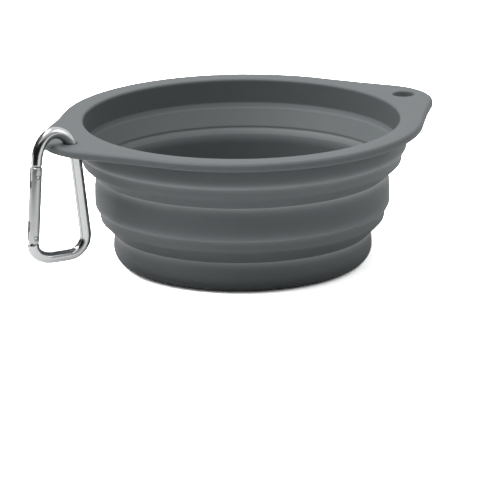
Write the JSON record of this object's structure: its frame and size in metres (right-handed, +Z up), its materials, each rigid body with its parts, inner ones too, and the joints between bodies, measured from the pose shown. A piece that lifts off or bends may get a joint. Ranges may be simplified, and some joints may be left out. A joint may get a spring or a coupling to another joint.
{
  "type": "collapsible pet bowl",
  "caption": "Collapsible silicone travel bowl for pets: stepped rings that fold into each other, a flat rim with holed lugs, and a sprung snap clip.",
  "frame": {"origin": "middle of the flat underside of the base, on the bowl's axis", "axes": "+Z up along the bowl's axis, X through the two lugs with the clip on the -X lug, Y across"},
  "size_m": [0.1626, 0.131, 0.0593],
  "materials": {
    "silicone": "matte moulded grey silicone",
    "aluminium": "polished",
    "steel": "bright drawn steel"
  },
  "bodies": {
    "rim": {"rim_ring": "silicone", "upper_fold_web": "silicone"},
    "middle": {"middle_ring": "silicone", "lower_fold_web": "silicone"},
    "base": {"base_cup": "silicone"},
    "clip": {"carabiner_frame": "aluminium"},
    "gate": {"carabiner_gate": "aluminium", "gate_pivot_pin": "steel", "gate_latch_pin": "steel", "gate_spring": "steel"},
    "plunger": {"spring_plunger": "steel"}
  },
  "joints": [
    {"name": "upper_fold", "type": "slide", "parent": "rim", "child": "middle", "axis": [0, 0, 1], "range_m": [0, 0.017], "deforming": ["upper_fold_web"]},
    {"name": "lower_fold", "type": "slide", "parent": "middle", "child": "base", "axis": [0, 0, 1], "range_m": [0, 0.019], "deforming": ["lower_fold_web"]},
    {"name": "clip_swing", "type": "hinge", "parent": "rim", "child": "clip", "pos_m": [-0.0756, 0, 0.0508], "axis": [0, 1, 0], "range_deg": [-10, 180]},
    {"name": "gate_hinge", "type": "hinge", "parent": "clip", "child": "gate", "pos_m": [-0.08425, 0, 0.0205], "axis": [0, 1, 0], "range_deg": [0, 24], "stiffness_Nm_per_rad": 0.03, "springref_deg": -34.38},
    {"name": "plunger_slide", "type": "slide", "parent": "gate", "child": "plunger", "axis": [0.0652, 0, 0.9979], "range_m": [0, 0.0006], "deforming": ["gate_spring"]}
  ],
  "couplings": [
    {"joint": "plunger_slide", "follows": "gate_hinge", "m_per_rad": 0.0013}
  ]
}
